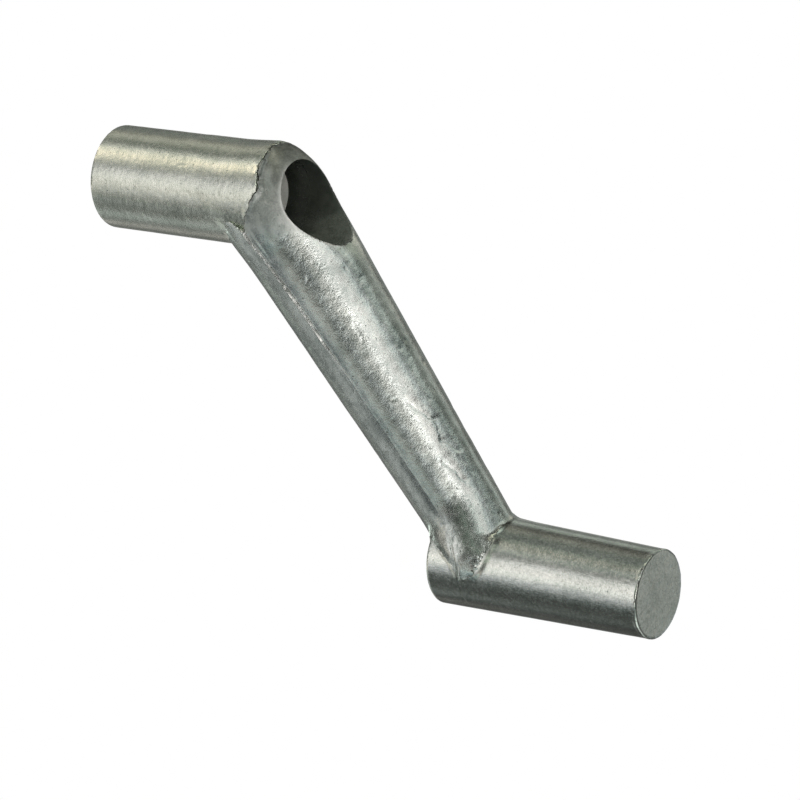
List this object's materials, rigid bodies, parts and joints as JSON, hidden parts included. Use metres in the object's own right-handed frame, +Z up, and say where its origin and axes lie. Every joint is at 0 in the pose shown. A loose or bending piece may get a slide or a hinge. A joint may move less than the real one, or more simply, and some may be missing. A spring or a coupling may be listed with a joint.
{
  "type": "crank handle",
  "caption": "Small cast Z-shaped crank handle with a splined hub, a recessed retaining screw and a fixed cylindrical grip.",
  "frame": {"origin": "centre of the drive socket's mouth, on the hub's flat end face", "axes": "+X along the hub axis from the socket's mouth towards the arm and the grip; +Z up, with the arm running down to the grip below the hub; the XZ plane is the handle's mirror plane"},
  "size_m": [0.0925, 0.016, 0.0702],
  "materials": {
    "hub_zinc": "satin",
    "cast_zinc": "satin",
    "insert_steel": "satin",
    "screw_steel": "satin",
    "washer_steel": "satin"
  },
  "bodies": {
    "crank": {"hub_barrel": "hub_zinc", "drive_insert": "insert_steel", "crank_arm": "cast_zinc", "grip_post": "cast_zinc", "grip_heel": "hub_zinc"},
    "washers": {"spring_washer": "washer_steel", "flat_washer": "washer_steel"},
    "screw": {"retaining_screw": "screw_steel"}
  },
  "joints": [
    {"name": "screw_travel", "type": "slide", "parent": "crank", "child": "washers", "axis": [-1, 0, 0], "range_m": [0, 0.006]},
    {"name": "screw_turn", "type": "hinge", "parent": "washers", "child": "screw", "pos_m": [0.0225, 0, 0], "axis": [-1, 0, 0], "range_deg": [0, 2160]}
  ],
  "couplings": [
    {"joint": "screw_turn", "follows": "screw_travel", "rad_per_m": 6283.2}
  ]
}
